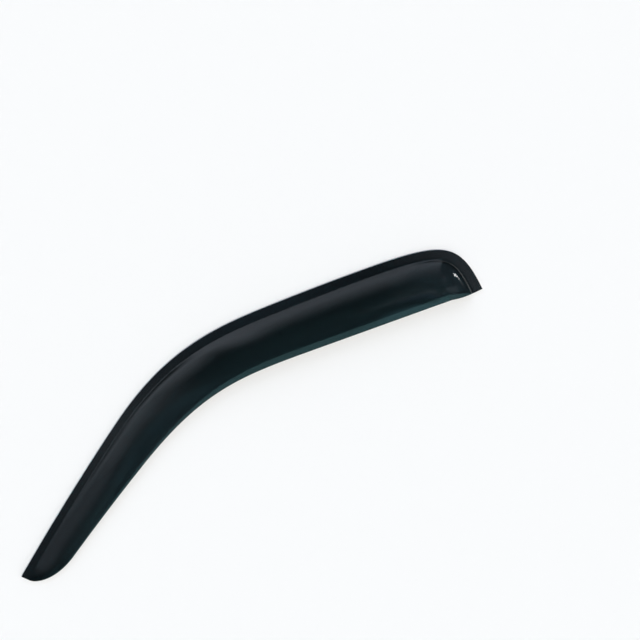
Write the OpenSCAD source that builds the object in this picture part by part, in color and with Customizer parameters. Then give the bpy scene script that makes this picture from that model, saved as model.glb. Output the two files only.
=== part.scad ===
// Window rain deflector for the left front door of a car.
//
// One moulded shell of smoke-tinted acrylic. A flat flange follows the whole outer edge and is
// stuck to the door frame by its back. From the flange the wall steps up and runs out as a domed
// shade to a free edge, which stands clear of the glass. The rear end is closed, and the front
// end falls along the windscreen pillar to a tip that lies flat.
//
// The part lies on the flange's back, which is z = 0, with +Z away from the car, +X to the rear
// of the car and +Y up the door. The origin is the middle of the part's outline.

/* [Rear end] */
// Width of the shade along the roof rail, from the outer edge to the free edge
roof_w = 96.5; // [88:0.5:115]
// Length over which the outer edge turns down to the free edge
end_len = 172; // [150:1:200]
// Pull of the end's curve up from its lower corner
end_side_pull = 86; // [60:1:96]
// Pull of the end's curve back from the roof rail
end_top_pull = 142; // [110:1:150]
// Lean of the end's lower corner, out past square
end_lean = 6; // [0:1:10]
// Length of free edge, from the lower corner, in which the closed end reaches its full height
end_reach = 56; // [44:1:64]

/* [Outer edge] */
// Length along the roof rail, from the rear end to the start of the bend
roof_run = 174; // [130:1:230]
// Length over which the edge bends from the roof rail to the windscreen pillar
bend_run = 350; // [280:1:420]
// Angle of the bend
bend_angle = 30.3; // [20:0.1:38]
// Length down the windscreen pillar, from the bend to the tip
pillar_run = 268; // [200:1:340]
// Radius of the slight bow of the whole edge
bow_r = 4500; // [3000:100:9000]

/* [Free edge] */
// Straight length of the free edge, from the lower rear corner
free_run = 296; // [260:1:330]
// Pull of the free edge's bend at its rear
free_rear_pull = 127; // [90:1:160]
// Pull of the free edge's bend at its front
free_front_pull = 156; // [110:1:180]
// Width of the shade where the bend ends
pillar_w = 76; // [66:0.5:86]
// Width at the tip, before its free corner is rounded off
tip_w = 51; // [40:0.5:60]
// Length of the rounding at the tip's free corner
tip_round = 74; // [50:1:90]
// Width that is left at the tip
tip_flat = 13.5; // [8:0.5:20]
// Lean of the cut across the tip
tip_lean = 6; // [0:1:12]

/* [Section] */
// Thickness of the wall
wall = 3; // [2:0.1:4]
// Rounding of the flange's edge and of the free edge
edge_r = 0.5; // [0.3:0.1:0.9]
// Width of the flange along the roof rail and the rear end
flange_w = 14.5; // [11:0.5:17]
// Width of the flange down the pillar
flange_front_w = 10; // [8:0.5:14]
// Height of the free edge along the roof rail, from the flange's back to its top
roof_h = 24; // [20:0.5:30]
// Height of the free edge where the bend ends
pillar_h = 12; // [9:0.5:16]
// Height that the free edge keeps towards the tip, before the nose closes
tip_h = 7; // [5:0.5:9]
// Slope of the step up from the flange, in degrees
step_angle = 44; // [38:1:50]
// Length of the step's slope, seen from above
step_run = 4; // [3.5:0.5:7]
// Length of the hollow fillet at the foot of the step
foot_fillet = 3.5; // [2.5:0.5:5]
// Length of the round shoulder at the top of the step
shoulder_fillet = 8; // [7:0.5:10]
// Slope left at the free edge, as a share of the slope above the shoulder
edge_flatness = 0.2; // [0.1:0.05:0.4]

/* [Hidden] */

smoke = [0.10, 0.13, 0.14];

// Sections along each stretch, and points across each part of a section
end_steps = 16;
roof_steps = 7;
bend_steps = 26;
pillar_steps = 11;
tip_steps = 9;
step_marks = 9;
dome_marks = 11;
corner_steps = 2;

// Share of the free edge's travel that the end's section lines spend evenly
even_fan = 0.15;
// Width below which the flange and step narrow with the shade
narrow_w = 45;

// Places along the outer edge, counted forwards from the rear end
free_bend_start = free_run - end_len;
pillar_start = roof_run + bend_run;
edge_len = pillar_start + pillar_run;
tip_start = edge_len - tip_round;

// Rise of the free edge above the flange's face
roof_rise = roof_h - wall;
pillar_rise = pillar_h - wall;
tip_rise = tip_h - wall;

// Plain helpers
function clamp01(u) = min(1, max(0, u));
function ease(u) = let (v = clamp01(u)) v * v * (3 - 2 * v);
function aim(a) = [cos(a), sin(a)];
function left_of(v) = [-v.y, v.x] / norm(v);
function bezier(p, t) =
    pow(1 - t, 3) * p[0] + 3 * pow(1 - t, 2) * t * p[1] + 3 * (1 - t) * t * t * p[2] + pow(t, 3) * p[3];
function bezier_slope(p, t) =
    pow(1 - t, 2) * (p[1] - p[0]) + 2 * (1 - t) * t * (p[2] - p[1]) + t * t * (p[3] - p[2]);
function spread(a, b, n) = [for (i = [0 : n - 1]) a + (b - a) * i / n];

// A slope that begins at x = 0 and is full after a run of c
function ramp(x, c) = x <= 0 ? 0 : x < c ? x * x / (2 * c) : x - c / 2;
function ramp_slope(x, c) = clamp01(x / c);

// Outer edge: the rear end is one curve, and the rest is walked along its heading
end_curve = [
    [0, 0],
    aim(90 + end_lean) * end_side_pull,
    [end_top_pull - end_len, roof_w],
    [-end_len, roof_w]
];
function heading(s) = 180 + s / bow_r * 180 / PI + bend_angle * ease((s - roof_run) / bend_run);
end_ts = spread(0, 1, end_steps);
walk = concat(
    spread(0, free_bend_start, roof_steps),
    spread(free_bend_start, pillar_start, bend_steps),
    spread(pillar_start, tip_start, pillar_steps),
    [for (i = [0 : tip_steps]) tip_start + tip_round * sin(90 * i / tip_steps)]
);
last = len(walk) - 1;
function stride(i) =
    i == last ? [0, 0] : (walk[i + 1] - walk[i]) * aim(heading((walk[i] + walk[i + 1]) / 2));
outer_walk = [for (i = 0, p = end_curve[3]; i <= last; p = p + stride(i), i = i + 1) p];

// Width and free edge down the pillar, where the tip's free corner is rounded off
function nose(s) = clamp01((s - tip_start) / tip_round);
function pillar_width(s) =
    pillar_w + (tip_w - pillar_w) * (s - pillar_start) / pillar_run
    - (tip_w - tip_flat) * (1 - sqrt(1 - pow(nose(s), 2)));
function inward(s) = aim(heading(s) + 90 + tip_lean * pow(nose(s), 2));
taper = (tip_w - pillar_w) / pillar_run;
free_heading = heading(pillar_start) + atan(taper / (1 - pillar_w / bow_r));
bend_end = outer_walk[roof_steps + bend_steps] + inward(pillar_start) * pillar_w;
free_curve = [
    [-free_run, 0],
    [-free_run - free_rear_pull, 0],
    bend_end - aim(free_heading) * free_front_pull,
    bend_end
];
function free_point(i) = let (s = walk[i])
    s < free_bend_start ? [-end_len - s, 0]
    : s < pillar_start ? bezier(free_curve, (s - free_bend_start) / (pillar_start - free_bend_start))
    : outer_walk[i] + inward(s) * pillar_width(s);

// Height of the free edge and width of the flange along the walk
function rise_at(s) =
    (roof_rise - (roof_rise - pillar_rise) * ease((s - roof_run) / bend_run)
    - (pillar_rise - tip_rise) * ease((s - pillar_start) / pillar_run)) * (1 - pow(nose(s), 2));
function flange_at(s) = flange_w - (flange_w - flange_front_w) * ease((s - roof_run) / bend_run);

// Each section: [point on the outer edge, way in, point on the free edge, rise, flange width]
sections = concat(
    [for (t = end_ts) [
        bezier(end_curve, t),
        left_of(bezier_slope(end_curve, t)),
        [-end_reach - (end_len - end_reach) * (even_fan * t + (1 - even_fan) * t * t), 0],
        roof_rise,
        flange_w
    ]],
    [for (i = [0 : last]) [
        outer_walk[i],
        inward(walk[i]),
        free_point(i),
        rise_at(walk[i]),
        flange_at(walk[i])
    ]]
);

// Profile of a section: height and slope of its outer face at a distance d from the outer edge.
// A profile is [width, scale of the flange and step, flange width, slope above the shoulder, lift]
function profile(section) = let (
    w = (section[2] - section[0]) * section[1],
    k = min(1, w / narrow_w),
    flange = section[4] * k,
    dome = w - flange - step_run * k,
    step_rise = tan(step_angle) * (step_run + (shoulder_fillet - foot_fillet) / 2) * k,
    above = (roof_rise - step_rise) / (dome * (1 + edge_flatness) / 2 - shoulder_fillet * k / 2)
) [w, k, flange, above, section[3] / roof_rise];

function height(p, d) = let (
    w = p[0],
    k = p[1],
    x = d - p[2],
    y = x - step_run * k,
    dome = w - p[2] - step_run * k,
    climb = tan(step_angle)
) wall + p[4] * (climb * ramp(x, foot_fillet * k) - (climb - p[3]) * ramp(y, shoulder_fillet * k)
    - p[3] * (1 - edge_flatness) * ramp(y, dome));

function slope(p, d) = let (
    w = p[0],
    k = p[1],
    x = d - p[2],
    y = x - step_run * k,
    dome = w - p[2] - step_run * k,
    climb = tan(step_angle)
) p[4] * (climb * ramp_slope(x, foot_fillet * k)
    - (climb - p[3]) * ramp_slope(y, shoulder_fillet * k)
    - p[3] * (1 - edge_flatness) * ramp_slope(y, dome));

// Distances from the outer edge at which a section has its points
function marks(p) = let (
    shoulder_end = p[2] + (step_run + shoulder_fillet) * p[1]
) concat(
    [edge_r],
    spread(p[2], shoulder_end, step_marks),
    spread(shoulder_end, p[0] - edge_r, dome_marks),
    [p[0] - edge_r]
);

// The section in the flat: distance from the outer edge, and depth below the outer face
function corner(x, y, a) =
    [for (i = [0 : corner_steps]) [x, y] + edge_r * aim(a + 90 * i / corner_steps)];
function flat_section(p) = let (m = marks(p), n = len(m)) concat(
    [for (i = [1 : n - 2]) [m[i], 0]],
    corner(p[0] - edge_r, edge_r, -90),
    corner(p[0] - edge_r, wall - edge_r, 0),
    [for (i = [n - 2 : -1 : 1]) [m[i], wall]],
    corner(edge_r, wall - edge_r, 90),
    corner(edge_r, edge_r, 180)
);

// A point of the flat section, bent to the profile and set down on its section line
function placed(section, p, flat) = let (
    a = atan(slope(p, flat[0])),
    d = flat[0] + flat[1] * sin(a),
    z = height(p, flat[0]) - flat[1] * cos(a),
    swing = max(0, (d - p[2]) / (p[0] - p[2])),
    miss = section[2] - section[0] - section[1] * p[0],
    q = section[0] + section[1] * d + miss * swing * swing
) [q.x, q.y, z];
rings = [for (section = sections)
    let (p = profile(section)) [for (flat = flat_section(p)) placed(section, p, flat)]];

// Middle of the outline
corners = [for (ring = rings) each ring];
xs = [for (c = corners) c.x];
ys = [for (c = corners) c.y];
middle = [(min(xs) + max(xs)) / 2, (min(ys) + max(ys)) / 2, 0];

// Faces between neighbouring rings, and a strip of faces across each end ring
ring_count = len(rings);
ring_size = len(rings[0]);
across = len(marks(profile(sections[0]))) - 2;
function side_faces() = [
    for (i = [0 : ring_count - 2], j = [0 : ring_size - 1])
        let (a = i * ring_size + j, b = i * ring_size + (j + 1) % ring_size)
        each [[a, b, b + ring_size], [a, b + ring_size, a + ring_size]]
];
function outer_at(j) = (j + ring_size) % ring_size;
function inner_at(j) = (2 * (across + corner_steps) + 1 - j + ring_size) % ring_size;
function strip() = [
    for (j = [-corner_steps - 1 : across + corner_steps - 1])
        let (a = outer_at(j), b = outer_at(j + 1), c = inner_at(j + 1), d = inner_at(j))
        each [[a, b, c], [a, c, d]]
];
function rear_faces() = [for (f = strip()) [f[2], f[1], f[0]]];
function tip_faces() = [for (f = strip()) [for (v = f) v + (ring_count - 1) * ring_size]];

module deflector() {
    color(smoke)
        translate(-middle)
            polyhedron(points = corners, faces = concat(side_faces(), rear_faces(), tip_faces()));
}

deflector();
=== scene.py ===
"""Window rain deflector for the left front door of a car, lying on a pale floor.

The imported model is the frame, in metres, with +Z away from the floor. The moulded shell is built
again here from the same sizes, much finer and with rounder edges, and stands for the CAD node.
"""
import math

import bmesh
import bpy
import numpy as np
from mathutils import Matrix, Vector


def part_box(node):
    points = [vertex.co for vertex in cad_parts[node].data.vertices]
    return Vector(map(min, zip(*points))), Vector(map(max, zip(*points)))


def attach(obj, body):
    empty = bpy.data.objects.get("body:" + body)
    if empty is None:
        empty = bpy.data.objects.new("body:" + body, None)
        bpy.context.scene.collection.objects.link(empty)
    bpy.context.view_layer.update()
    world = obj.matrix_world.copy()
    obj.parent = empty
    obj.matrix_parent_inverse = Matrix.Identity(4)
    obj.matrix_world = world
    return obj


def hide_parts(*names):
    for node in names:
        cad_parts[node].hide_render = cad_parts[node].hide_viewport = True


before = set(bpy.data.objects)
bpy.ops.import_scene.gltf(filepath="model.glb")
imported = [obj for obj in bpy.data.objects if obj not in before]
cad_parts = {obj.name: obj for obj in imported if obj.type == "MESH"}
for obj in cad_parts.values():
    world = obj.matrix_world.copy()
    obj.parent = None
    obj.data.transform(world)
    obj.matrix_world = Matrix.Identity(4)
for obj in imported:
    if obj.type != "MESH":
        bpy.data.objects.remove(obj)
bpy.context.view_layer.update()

MM = 0.001

# Rear end, in millimetres
ROOF_W = 96.5
END_LEN = 172.0
END_SIDE_PULL = 86.0
END_TOP_PULL = 142.0
END_LEAN = 6.0
END_REACH = 56.0

# Outer edge, in millimetres and degrees
ROOF_RUN = 174.0
BEND_RUN = 350.0
BEND_ANGLE = 30.3
PILLAR_RUN = 268.0
BOW_R = 4500.0

# Free edge, in millimetres and degrees
FREE_RUN = 296.0
FREE_REAR_PULL = 127.0
FREE_FRONT_PULL = 156.0
PILLAR_W = 76.0
TIP_W = 51.0
TIP_ROUND = 74.0
TIP_FLAT = 13.5
TIP_LEAN = 6.0

# Section, in millimetres and degrees
WALL = 3.0
EDGE_R = 0.5
FLANGE_W = 14.5
FLANGE_FRONT_W = 10.0
ROOF_H = 24.0
PILLAR_H = 12.0
TIP_H = 7.0
STEP_ANGLE = 44.0
STEP_RUN = 4.0
FOOT_FILLET = 3.5
SHOULDER_FILLET = 8.0
EDGE_FLATNESS = 0.2
EVEN_FAN = 0.15
NARROW_W = 45.0

# How finely the shell is divided
END_STEPS = 84
ROOF_STEPS = 36
BEND_STEPS = 100
PILLAR_STEPS = 60
TIP_STEPS = 36
ROUND_STEPS = 4
ROUND_LAST = 80.0
FLANGE_MARKS = 4
STEP_MARKS = 34
DOME_MARKS = 30
CORNER_STEPS = 4
WALK_STEPS = 4000

# How far the marks and the sections keep from a rounded edge, in its radii, and over how many rings
# the way along the rear end is measured
MARK_CLEAR = 1.4
SECTION_CLEAR = 1.5
REAR_RINGS = 4

# Places along the outer edge, counted forwards from the rear end
FREE_BEND_START = FREE_RUN - END_LEN
PILLAR_START = ROOF_RUN + BEND_RUN
EDGE_LEN = PILLAR_START + PILLAR_RUN
TIP_START = EDGE_LEN - TIP_ROUND
ROOF_RISE = ROOF_H - WALL
PILLAR_RISE = PILLAR_H - WALL
TIP_RISE = TIP_H - WALL

# Camera: straight above, turned so that the roof rail climbs to the right
VIEW_TURN = -19.82
VIEW_CENTRE = (0.1689, 0.0976)
VIEW_WIDTH = 1.0584
CAMERA_HEIGHT = 2.2
SENSOR = 36.0


# Curves and slopes of the shell, in millimetres

def ease(u):
    v = np.clip(u, 0, 1)
    return v * v * (3 - 2 * v)


def aim(degrees):
    a = np.radians(degrees)
    return np.stack([np.cos(a), np.sin(a)], axis=-1)


def bezier(p, t):
    t = np.asarray(t, float)[..., None]
    u = 1 - t
    return u**3 * p[0] + 3 * u**2 * t * p[1] + 3 * u * t**2 * p[2] + t**3 * p[3]


def bezier_slope(p, t):
    t = np.asarray(t, float)[..., None]
    u = 1 - t
    return u**2 * (p[1] - p[0]) + 2 * u * t * (p[2] - p[1]) + t**2 * (p[3] - p[2])


def spread(a, b, n):
    return a + (b - a) * np.arange(n) / n


def ramp(x, c):
    """A slope that begins at x = 0 and is full after a run of c."""
    return np.where(x <= 0, 0, np.where(x < c, x * x / (2 * c), x - c / 2))


def ramp_slope(x, c):
    return np.clip(x / c, 0, 1)


def heading(s):
    return 180 + np.degrees(s / BOW_R) + BEND_ANGLE * ease((s - ROOF_RUN) / BEND_RUN)


def nose(s):
    return np.clip((s - TIP_START) / TIP_ROUND, 0, 1)


def inward(s):
    return aim(heading(s) + 90 + TIP_LEAN * nose(s) ** 2)


def pillar_width(s):
    narrowing = (TIP_W - PILLAR_W) * (s - PILLAR_START) / PILLAR_RUN
    return PILLAR_W + narrowing - (TIP_W - TIP_FLAT) * (1 - np.sqrt(1 - nose(s) ** 2))


def rise_at(s):
    bend = (ROOF_RISE - PILLAR_RISE) * ease((s - ROOF_RUN) / BEND_RUN)
    pillar = (PILLAR_RISE - TIP_RISE) * ease((s - PILLAR_START) / PILLAR_RUN)
    return (ROOF_RISE - bend - pillar) * (1 - nose(s) ** 2)


def flange_at(s):
    return FLANGE_W - (FLANGE_W - FLANGE_FRONT_W) * ease((s - ROOF_RUN) / BEND_RUN)


def walk_stations():
    """Places along the outer edge where sections stand, and how far the tip's rounding insets each."""
    body = np.concatenate([
        spread(0, FREE_BEND_START, ROOF_STEPS),
        spread(FREE_BEND_START, PILLAR_START, BEND_STEPS),
        spread(PILLAR_START, TIP_START, PILLAR_STEPS),
        TIP_START + TIP_ROUND * np.sin(np.radians(spread(0, 90, TIP_STEPS))),
    ])
    body = body[body < EDGE_LEN - SECTION_CLEAR * EDGE_R]
    turn = np.radians(np.linspace(0, ROUND_LAST, ROUND_STEPS + 1))
    rounding = EDGE_LEN - EDGE_R * (1 - np.sin(turn))
    inset = np.concatenate([np.zeros(len(body)), EDGE_R * (1 - np.cos(turn))])
    return np.concatenate([body, rounding]), inset


def outer_walk(s, start):
    """The outer edge, walked along its heading from its start at the rear end."""
    fine = np.linspace(0, EDGE_LEN, WALK_STEPS + 1)
    middle = (fine[1:] + fine[:-1]) / 2
    steps = np.diff(fine)[:, None] * aim(heading(middle))
    line = np.concatenate([[[0.0, 0.0]], np.cumsum(steps, axis=0)]) + start
    return np.stack([np.interp(s, fine, line[:, 0]), np.interp(s, fine, line[:, 1])], axis=-1)


def sections():
    """For each section: outer point, way in, free-edge point, rise, flange width and edge inset."""
    end_curve = np.array([
        [0, 0],
        aim(90 + END_LEAN) * END_SIDE_PULL,
        [END_TOP_PULL - END_LEN, ROOF_W],
        [-END_LEN, ROOF_W],
    ])
    t = spread(0, 1, END_STEPS)
    end_outer = bezier(end_curve, t)
    along = bezier_slope(end_curve, t)
    end_way = np.stack([-along[:, 1], along[:, 0]], axis=-1) / np.linalg.norm(along, axis=1)[:, None]
    fan = EVEN_FAN * t + (1 - EVEN_FAN) * t * t
    end_free = np.stack([-END_REACH - (END_LEN - END_REACH) * fan, np.zeros(END_STEPS)], axis=-1)

    s, inset = walk_stations()
    outer = outer_walk(s, end_curve[3])
    way = inward(s)
    taper = (TIP_W - PILLAR_W) / PILLAR_RUN
    free_heading = heading(PILLAR_START) + math.degrees(math.atan(taper / (1 - PILLAR_W / BOW_R)))
    bend_end = outer_walk(PILLAR_START, end_curve[3]) + inward(PILLAR_START) * PILLAR_W
    free_curve = np.array([
        [-FREE_RUN, 0],
        [-FREE_RUN - FREE_REAR_PULL, 0],
        bend_end - aim(free_heading) * FREE_FRONT_PULL,
        bend_end,
    ])
    straight = np.stack([-END_LEN - s, np.zeros(len(s))], axis=-1)
    bent = bezier(free_curve, np.clip((s - FREE_BEND_START) / (PILLAR_START - FREE_BEND_START), 0, 1))
    down = outer + way * pillar_width(s)[:, None]
    on_roof = (s < FREE_BEND_START)[:, None]
    on_bend = (s < PILLAR_START)[:, None]
    free = np.where(on_roof, straight, np.where(on_bend, bent, down))
    return (
        np.concatenate([end_outer, outer]),
        np.concatenate([end_way, way]),
        np.concatenate([end_free, free]),
        np.concatenate([np.full(END_STEPS, ROOF_RISE), rise_at(s)]),
        np.concatenate([np.full(END_STEPS, FLANGE_W), flange_at(s)]),
        np.concatenate([np.zeros(END_STEPS), inset]),
    )


# The shell's surface

class Section:
    """One section's profile: height and slope of its outer face at a distance from the outer edge."""

    def __init__(self, outer, way, free, rise, flange, inset):
        self.outer = outer
        self.way = way
        self.width = float(np.dot(free - outer, way))
        self.miss = free - outer - way * self.width
        self.k = min(1.0, self.width / NARROW_W)
        self.flange = flange * self.k
        self.dome = self.width - self.flange - STEP_RUN * self.k
        self.climb = math.tan(math.radians(STEP_ANGLE))
        step_rise = self.climb * (STEP_RUN + (SHOULDER_FILLET - FOOT_FILLET) / 2) * self.k
        run = self.dome * (1 + EDGE_FLATNESS) / 2 - SHOULDER_FILLET * self.k / 2
        self.above = (ROOF_RISE - step_rise) / run
        self.lift = rise / ROOF_RISE
        self.inset = inset

    def height(self, d):
        x = d - self.flange
        y = x - STEP_RUN * self.k
        return WALL + self.lift * (
            self.climb * ramp(x, FOOT_FILLET * self.k)
            - (self.climb - self.above) * ramp(y, SHOULDER_FILLET * self.k)
            - self.above * (1 - EDGE_FLATNESS) * ramp(y, self.dome)
        )

    def slope(self, d):
        x = d - self.flange
        y = x - STEP_RUN * self.k
        return self.lift * (
            self.climb * ramp_slope(x, FOOT_FILLET * self.k)
            - (self.climb - self.above) * ramp_slope(y, SHOULDER_FILLET * self.k)
            - self.above * (1 - EDGE_FLATNESS) * ramp_slope(y, self.dome)
        )

    def marks(self):
        """Distances from the outer edge at which the faces have their points."""
        shoulder_end = self.flange + (STEP_RUN + SHOULDER_FILLET) * self.k
        return np.concatenate([
            spread(EDGE_R * MARK_CLEAR, self.flange, FLANGE_MARKS),
            spread(self.flange, shoulder_end, STEP_MARKS),
            np.linspace(shoulder_end, self.width - EDGE_R * MARK_CLEAR, DOME_MARKS),
        ])

    def flat(self):
        """The section in the flat: distance from the outer edge, and depth below the outer face."""
        marks = self.marks()
        r = EDGE_R - self.inset

        def corner(x, y, start):
            return np.array([x, y]) + r * aim(start + np.linspace(0, 90, CORNER_STEPS + 1))

        far = self.width - EDGE_R
        top = np.stack([marks, np.full(len(marks), self.inset)], axis=-1)
        back = np.stack([marks[::-1], np.full(len(marks), WALL - self.inset)], axis=-1)
        return np.concatenate([
            top,
            corner(far, EDGE_R, -90),
            corner(far, WALL - EDGE_R, 0),
            back,
            corner(EDGE_R, WALL - EDGE_R, 90),
            corner(EDGE_R, EDGE_R, 180),
        ])

    def bent(self):
        """The section bent to the profile: distance from the outer edge, and height."""
        flat = self.flat()
        tilt = np.arctan(self.slope(flat[:, 0]))
        d = flat[:, 0] + flat[:, 1] * np.sin(tilt)
        z = self.height(flat[:, 0]) - flat[:, 1] * np.cos(tilt)
        return d, z

    def swing(self, d):
        """How far across the shade a distance lies: 0 at the flange and 1 at the free edge."""
        return np.maximum(0, (d - self.flange) / (self.width - self.flange))

    def ring(self):
        """The section's points, set down on the section line."""
        d, z = self.bent()
        q = self.outer + self.way * d[:, None] + self.miss * (self.swing(d) ** 2)[:, None]
        return np.concatenate([q, z[:, None]], axis=1)


def shell_rings():
    """All rings from the rear end's cut to the tip's, with the rear cut's rounding put before them."""
    stations = [Section(*values) for values in zip(*sections())]
    rings = [station.ring() for station in stations]
    rear = stations[0]
    along = rings[REAR_RINGS] - rings[0]
    along /= np.linalg.norm(along, axis=1)[:, None]
    distances = rear.bent()[0]
    fade = (1 - np.clip(rear.swing(distances), 0, 1))[:, None]
    rounding = []
    for turn in np.radians(np.linspace(ROUND_LAST, 0, ROUND_STEPS + 1)):
        rear.inset = EDGE_R * (1 - math.cos(turn))
        rounding.append(rear.ring() + along * fade * EDGE_R * (1 - math.sin(turn)))
    return np.array(rounding + rings[1:])


def shell_faces(ring_count, ring_size, across):
    """Faces between neighbouring rings, and a strip of faces across each end ring."""
    faces = []
    for i in range(ring_count - 1):
        for j in range(ring_size):
            a = i * ring_size + j
            b = i * ring_size + (j + 1) % ring_size
            faces.append((a, a + ring_size, b + ring_size, b))
    last = (ring_count - 1) * ring_size
    corner = CORNER_STEPS + 1
    for j in range(-corner, across + corner - 1):
        a = j % ring_size
        b = (j + 1) % ring_size
        c = (2 * (across + corner) - 2 - j) % ring_size
        d = (2 * (across + corner) - 1 - j) % ring_size
        faces.append((a, b, c, d))
        faces.append((last + d, last + c, last + b, last + a))
    return faces


def build_deflector():
    rings = shell_rings()
    ring_count, ring_size = rings.shape[:2]
    across = FLANGE_MARKS + STEP_MARKS + DOME_MARKS
    points = rings.reshape(-1, 3) * MM
    low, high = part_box("deflector")
    for axis in range(2):
        middle = (points[:, axis].min() + points[:, axis].max()) / 2
        points[:, axis] += (low[axis] + high[axis]) / 2 - middle
    mesh = bpy.data.meshes.new("deflector_shell")
    mesh.from_pydata(points.tolist(), [], shell_faces(ring_count, ring_size, across))
    mesh.validate()
    for polygon in mesh.polygons:
        polygon.use_smooth = True
    shell = bpy.data.objects.new("deflector_shell", mesh)
    bpy.context.scene.collection.objects.link(shell)
    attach(shell, "root")
    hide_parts("deflector")
    return shell


# Materials

def new_material(name):
    material = bpy.data.materials.new(name)
    material.use_nodes = True
    tree = material.node_tree
    tree.nodes.clear()
    output = tree.nodes.new("ShaderNodeOutputMaterial")
    return material, tree, output


def add(tree, kind, inputs=None, **settings):
    """A node of that kind, with its settings, and its inputs set or linked by name or number."""
    node = tree.nodes.new(kind)
    for name, value in settings.items():
        setattr(node, name, value)
    for name, value in (inputs or {}).items():
        if isinstance(value, bpy.types.NodeSocket):
            tree.links.new(value, node.inputs[name])
        else:
            node.inputs[name].default_value = value
    return node


ACRYLIC_TINT = (0.066, 0.111, 0.123, 1.0)
ACRYLIC_IOR = 1.49
HAZE_SCALE = 9.0
HAZE_DETAIL = 3.0
HAZE_RANGE = (0.3, 0.7)
ROUGHNESS_RANGE = (0.035, 0.06)
RIPPLE_SCALE = 38.0
RIPPLE_DETAIL = 2.0
RIPPLE_STRENGTH = 0.02
RIPPLE_DEPTH = 0.002
ABSORB_COLOUR = (0.05, 0.36, 0.36, 1.0)
ABSORB_DENSITY = 310.0


def smoke_acrylic():
    material, tree, output = new_material("smoke_acrylic")
    place = add(tree, "ShaderNodeTexCoord").outputs["Object"]
    haze = add(
        tree, "ShaderNodeTexNoise",
        {"Vector": place, "Scale": HAZE_SCALE, "Detail": HAZE_DETAIL},
    )
    roughness = add(
        tree, "ShaderNodeMapRange",
        {
            "Value": haze.outputs["Fac"],
            "From Min": HAZE_RANGE[0],
            "From Max": HAZE_RANGE[1],
            "To Min": ROUGHNESS_RANGE[0],
            "To Max": ROUGHNESS_RANGE[1],
        },
    )
    ripple = add(
        tree, "ShaderNodeTexNoise",
        {"Vector": place, "Scale": RIPPLE_SCALE, "Detail": RIPPLE_DETAIL},
    )
    bump = add(
        tree, "ShaderNodeBump",
        {"Height": ripple.outputs["Fac"], "Strength": RIPPLE_STRENGTH, "Distance": RIPPLE_DEPTH},
    )
    surface = add(
        tree, "ShaderNodeBsdfPrincipled",
        {
            "Base Color": ACRYLIC_TINT,
            "Transmission Weight": 1.0,
            "IOR": ACRYLIC_IOR,
            "Roughness": roughness.outputs["Result"],
            "Normal": bump.outputs["Normal"],
        },
    )
    inside = add(
        tree, "ShaderNodeVolumeAbsorption", {"Color": ABSORB_COLOUR, "Density": ABSORB_DENSITY}
    )
    tree.links.new(surface.outputs["BSDF"], output.inputs["Surface"])
    tree.links.new(inside.outputs["Volume"], output.inputs["Volume"])
    return material


FLOOR_COLOUR = (0.90, 0.90, 0.90, 1.0)
FLOOR_GAP = 0.0003
FLOOR_RADIUS = 30.0
FLOOR_SEGMENTS = 96


def build_floor():
    material, tree, output = new_material("pale_floor")
    surface = add(tree, "ShaderNodeBsdfDiffuse", {"Color": FLOOR_COLOUR})
    tree.links.new(surface.outputs["BSDF"], output.inputs["Surface"])
    mesh = bpy.data.meshes.new("floor")
    form = bmesh.new()
    bmesh.ops.create_circle(form, cap_ends=True, radius=FLOOR_RADIUS, segments=FLOOR_SEGMENTS)
    form.to_mesh(mesh)
    form.free()
    floor = bpy.data.objects.new("floor", mesh)
    floor.location.z = -FLOOR_GAP
    floor.data.materials.append(material)
    bpy.context.scene.collection.objects.link(floor)


# Light. Azimuths are counted in the picture: 0 is its right and 90 its top. Angles are in degrees.

AMBIENT = (0.052, 0.058, 0.076)

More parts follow.
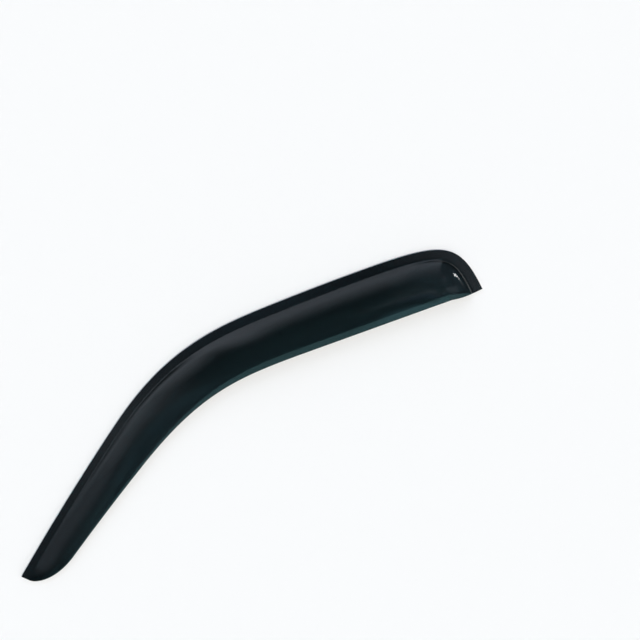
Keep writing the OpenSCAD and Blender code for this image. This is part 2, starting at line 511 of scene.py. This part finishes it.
# Panels: azimuths and their softness, the azimuth faced, the near and far borders, which are angles
# from straight up towards that azimuth, and their softness, and the radiance
PANELS = [
    # Dim fill at the upper right, then broad panels from the top round to the upper left
    ((25, 99), (8, 6), 60, (20, 70), (8, 8), (0.14, 0.20, 0.25)),
    ((79, 99), (1.5, 3), 98, (34.2, 84), (5.5, 4), (0.64, 0.69, 0.80)),
    ((99, 118), (3, 5), 100, (33.0, 100), (5.5, 35), (0.82, 0.89, 1.02)),
    ((118, 133), (5, 6), 124, (31.9, 95), (5, 25), (0.97, 1.05, 1.20)),
    ((133, 158), (6, 4), 176, (23.9, 45), (3, 9), (0.97, 1.06, 1.20)),
    # Dimmer panels at the left
    ((157, 174), (5, 3), 185, (20.2, 46), (4, 12), (0.32, 0.36, 0.41)),
    ((160, 166.5), (4, 3), 185, (22.3, 39), (2.4, 10), (0.57, 0.63, 0.71)),
    ((166, 173), (3, 4), 185, (19.6, 42), (3, 12), (0.26, 0.29, 0.33)),
    ((174, 212), (3, 10), 185, (21.2, 44), (3, 12), (0.39, 0.44, 0.51)),
    ((172, 208), (4, 6), 187, (16.3, 19.6), (1.5, 1.5), (0.12, 0.19, 0.22)),
    # Narrow, dim panels near straight up, towards the top and the upper right
    ((64, 82), (6, 4), 76, (10, 18), (2.5, 2), (0.10, 0.25, 0.30)),
    ((82, 97), (4, 4), 88, (8.5, 13.5), (2.5, 1.2), (0.17, 0.38, 0.47)),
    ((84, 97), (3, 4), 90, (17, 20), (1.2, 1.5), (0.08, 0.12, 0.20)),
    ((80, 91), (4, 2), 86, (20, 22.5), (1.2, 1.2), (0.26, 0.29, 0.32)),
    ((91, 104), (2, 3), 98, (19, 21.1), (1.2, 1.2), (0.18, 0.20, 0.22)),
    ((92, 101), (2, 1.5), 98, (21.5, 25.6), (1.2, 1.2), (0.07, 0.08, 0.08)),
    ((34, 79), (3, 4), 98, (21.2, 25.2), (1.4, 1.4), (0.30, 0.34, 0.37)),
    # Very narrow, bright panels that the rear corner mirrors as its glint, and a faint one beside them
    ((41.2, 45.8), (0.6, 0.8), 88, (38.45, 38.75), (0.2, 0.2), (46.0, 46.0, 46.0)),
    ((37.8, 41.2), (0.8, 0.6), 85, (40.6, 40.85), (0.2, 0.2), (42.0, 42.0, 42.0)),
    ((33.4, 37.8), (2, 0.8), 80, (44.2, 44.5), (0.2, 0.2), (40.0, 40.0, 40.0)),
    ((27, 33), (2, 1.5), 80, (43.6, 44.6), (0.6, 0.6), (0.8, 0.8, 0.8)),
    # Low panels at the bottom and the lower right
    ((225, 305), (15, 10), 265, (62, 100), (6, 35), (1.7, 1.7, 1.7)),
    ((305, 372), (10, 6), 335, (62, 100), (6, 35), (2.6, 2.6, 2.6)),
]

# Round lamps: azimuth, angle from straight up, radius, softness and radiance
ROUND_LAMPS = [
    (208, 10, 2.5, 4, (0.36, 0.39, 0.43)),
    (221, 16, 3.5, 3.5, (0.15, 0.17, 0.20)),
    (9, 9, 4.5, 3, (0.40, 0.45, 0.50)),
    (270, 4, 9, 5, (0.06, 0.07, 0.09)),
    (168, 3, 3.5, 3, (0.07, 0.11, 0.14)),
    (182, 15.5, 3, 4, (0.06, 0.10, 0.14)),
]

# Key sun, which lights the floor and isn't mirrored
KEY_AZIMUTH = 300.0
KEY_POLAR = 24.5
KEY_STRENGTH = 2.42
KEY_COLOUR = (1.0, 0.978, 0.925)
KEY_ANGLE = 4.0


def build_world():
    world = bpy.data.worlds.new("studio")
    world.use_nodes = True
    tree = world.node_tree
    tree.nodes.clear()
    output = tree.nodes.new("ShaderNodeOutputWorld")
    ray = add(tree, "ShaderNodeTexCoord").outputs["Generated"]
    turned = add(
        tree, "ShaderNodeVectorRotate",
        {"Vector": ray, "Angle": math.radians(-VIEW_TURN)},
        rotation_type="Z_AXIS",
    ).outputs["Vector"]
    parts = add(tree, "ShaderNodeSeparateXYZ", {"Vector": turned}).outputs

    def calc(operation, *values):
        return add(tree, "ShaderNodeMath", dict(enumerate(values)), operation=operation).outputs["Value"]

    def vector(operation, *values):
        return add(tree, "ShaderNodeVectorMath", dict(enumerate(values)), operation=operation)

    def step(value, at, soft):
        return add(
            tree, "ShaderNodeMapRange",
            {"Value": value, "From Min": at - soft, "From Max": at + soft, "To Min": 0.0, "To Max": 1.0},
            interpolation_type="SMOOTHSTEP",
        ).outputs["Result"]

    def between(value, span, soft):
        return calc("SUBTRACT", step(value, span[0], soft[0]), step(value, span[1], soft[1]))

    azimuth = calc("DEGREES", calc("ARCTAN2", parts["Y"], parts["X"]))
    polar = calc("DEGREES", calc("ARCCOSINE", parts["Z"]))
    masks = []
    for azimuths, azimuth_soft, facing, borders, border_soft, radiance in PANELS:
        middle = sum(azimuths) / 2
        half = (azimuths[1] - azimuths[0]) / 2
        turn = calc("WRAP", calc("SUBTRACT", azimuth, middle), 180.0, -180.0)
        across = between(turn, (-half, half), azimuth_soft)
        aside = calc("COSINE", calc("RADIANS", calc("SUBTRACT", turn, facing - middle)))
        outwards = between(calc("MULTIPLY", polar, aside), borders, border_soft)
        masks.append((calc("MULTIPLY", across, outwards), radiance))
    for lamp_azimuth, lamp_polar, radius, soft, radiance in ROUND_LAMPS:
        lean = math.radians(lamp_polar)
        centre = (*(aim(lamp_azimuth) * math.sin(lean)), math.cos(lean))
        closeness = vector("DOT_PRODUCT", turned, centre).outputs["Value"]
        away = calc("DEGREES", calc("ARCCOSINE", closeness))
        masks.append((calc("SUBTRACT", 1.0, step(away, radius, soft)), radiance))
    light = AMBIENT
    for mask, radiance in masks:
        light = vector("MULTIPLY_ADD", mask, radiance, light).outputs["Vector"]
    shine = add(tree, "ShaderNodeBackground", {"Color": light, "Strength": 1.0})
    tree.links.new(shine.outputs["Background"], output.inputs["Surface"])
    bpy.context.scene.world = world


def build_key():
    data = bpy.data.lights.new("key", "SUN")
    data.energy = KEY_STRENGTH
    data.color = KEY_COLOUR
    data.angle = math.radians(KEY_ANGLE)
    lamp = bpy.data.objects.new("key", data)
    lamp.rotation_euler = (0, math.radians(KEY_POLAR), math.radians(KEY_AZIMUTH + VIEW_TURN))
    lamp.visible_glossy = False
    bpy.context.scene.collection.objects.link(lamp)


def build_camera():
    data = bpy.data.cameras.new("camera")
    data.sensor_width = SENSOR
    data.lens = SENSOR * CAMERA_HEIGHT / VIEW_WIDTH
    camera = bpy.data.objects.new("camera", data)
    camera.location = (*VIEW_CENTRE, CAMERA_HEIGHT)
    camera.rotation_euler = (0, 0, math.radians(VIEW_TURN))
    bpy.context.scene.collection.objects.link(camera)
    bpy.context.scene.camera = camera


build_camera()
shell = build_deflector()
shell.data.materials.append(smoke_acrylic())
build_floor()
build_world()
build_key()
bpy.context.scene.view_settings.view_transform = "Standard"
